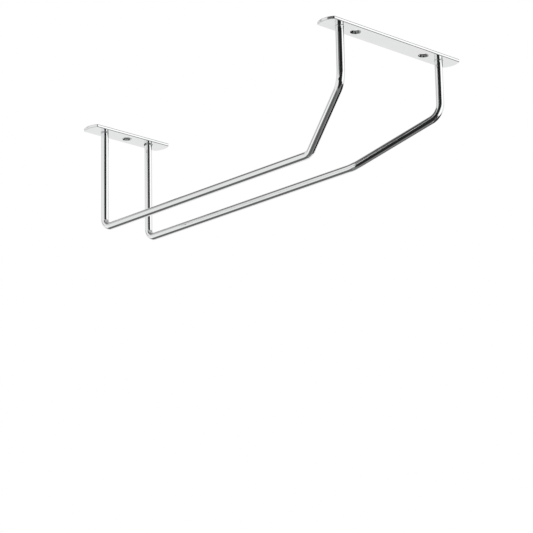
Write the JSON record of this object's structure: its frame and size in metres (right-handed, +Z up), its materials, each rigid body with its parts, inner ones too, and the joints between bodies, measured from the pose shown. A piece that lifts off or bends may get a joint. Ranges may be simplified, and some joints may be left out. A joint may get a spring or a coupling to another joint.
{
  "type": "hanging stemware rack",
  "caption": "Chrome wire rack that screws under a shelf; stemmed glasses slide in foot first and hang upside down between parallel rails.",
  "frame": {"origin": "midway between the two front screw holes, on the mounting face of the plates", "axes": "+Z up into the shelf, +Y along the rails from the open front to the closed rear, +X along the plates to the right seen from the front"},
  "size_m": [0.115, 0.254, 0.0698],
  "materials": {
    "plate_chrome": "bright chrome plate over steel strip, mirror polished on the faces, softer on the sheared edges",
    "rod_chrome": "bright chrome plate over drawn steel rod",
    "weld_chrome": "chrome plate over weld metal, a little rougher than the rods"
  },
  "bodies": {
    "root": {"front_plate": "plate_chrome", "rear_plate": "plate_chrome", "left_rail": "rod_chrome", "right_rail": "rod_chrome", "front_left_weld": "weld_chrome", "front_right_weld": "weld_chrome", "rear_left_weld": "weld_chrome", "rear_right_weld": "weld_chrome"}
  },
  "joints": []
}
